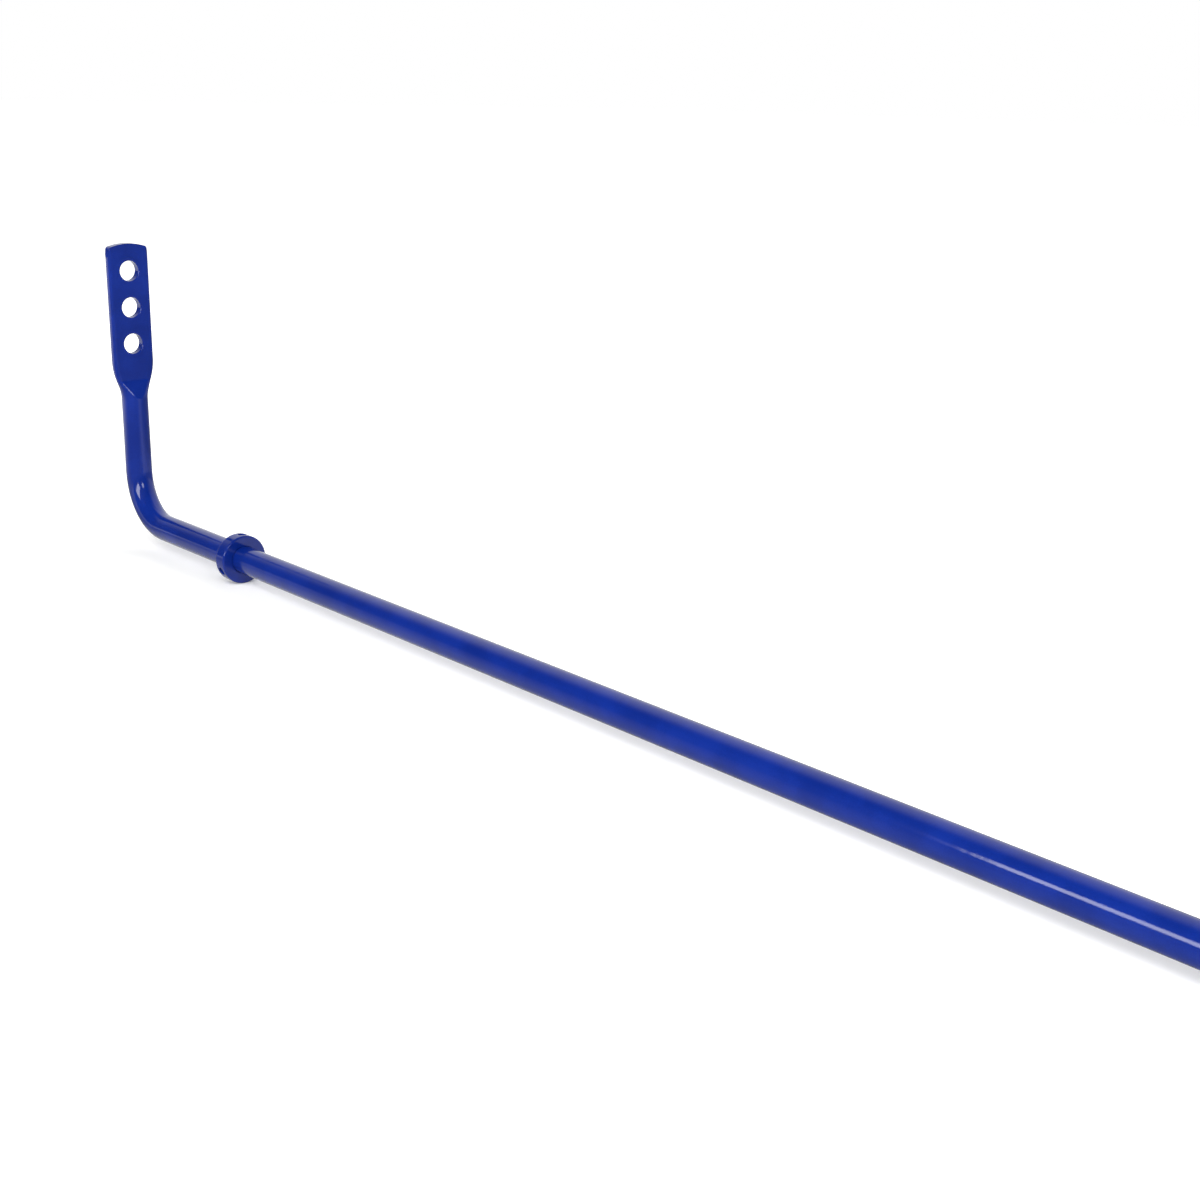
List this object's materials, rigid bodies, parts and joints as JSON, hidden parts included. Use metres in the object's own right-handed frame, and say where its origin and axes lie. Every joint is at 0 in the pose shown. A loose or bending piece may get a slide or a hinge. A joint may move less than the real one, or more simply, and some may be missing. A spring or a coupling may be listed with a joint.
{
  "type": "sway bar",
  "caption": "Round spring-steel anti-roll bar with a pressed flat blade on each arm for drop links, and a screw-locked collar beside each bush seat.",
  "frame": {"origin": "middle of the straight torsion section, on its axis", "axes": "+X along the torsion section towards the right arm, +Z the way both arms point, Y across the bar"},
  "size_m": [0.976, 0.0284, 0.1855],
  "materials": {
    "powder_coat": "gloss",
    "set_screw_steel": "satin"
  },
  "bodies": {
    "bar": {"torsion_bar": "powder_coat"},
    "left_lock": {"left_collar": "powder_coat"},
    "left_screw_1": {"left_set_screw_1": "set_screw_steel"},
    "left_screw_2": {"left_set_screw_2": "set_screw_steel"},
    "left_screw_3": {"left_set_screw_3": "set_screw_steel"},
    "right_lock": {"right_collar": "powder_coat"},
    "right_screw_1": {"right_set_screw_1": "set_screw_steel"},
    "right_screw_2": {"right_set_screw_2": "set_screw_steel"},
    "right_screw_3": {"right_set_screw_3": "set_screw_steel"}
  },
  "joints": [
    {"name": "left_collar_slide", "type": "slide", "parent": "bar", "child": "left_lock", "axis": [1, 0, 0], "range_m": [-0.0835, 0.3562]},
    {"name": "left_set_screw_1_travel", "type": "slide", "parent": "left_lock", "child": "left_screw_1", "axis": [0, 0.1045, 0.9945], "range_m": [0, 0.0024]},
    {"name": "left_set_screw_2_travel", "type": "slide", "parent": "left_lock", "child": "left_screw_2", "axis": [0, -0.9135, -0.4067], "range_m": [0, 0.0024]},
    {"name": "left_set_screw_3_travel", "type": "slide", "parent": "left_lock", "child": "left_screw_3", "axis": [0, 0.809, -0.5878], "range_m": [0, 0.0024]},
    {"name": "right_collar_slide", "type": "slide", "parent": "bar", "child": "right_lock", "axis": [-1, 0, 0], "range_m": [-0.0835, 0.3562]},
    {"name": "right_set_screw_1_travel", "type": "slide", "parent": "right_lock", "child": "right_screw_1", "axis": [0, 0.1045, 0.9945], "range_m": [0, 0.0024]},
    {"name": "right_set_screw_2_travel", "type": "slide", "parent": "right_lock", "child": "right_screw_2", "axis": [0, -0.9135, -0.4067], "range_m": [0, 0.0024]},
    {"name": "right_set_screw_3_travel", "type": "slide", "parent": "right_lock", "child": "right_screw_3", "axis": [0, 0.809, -0.5878], "range_m": [0, 0.0024]}
  ]
}
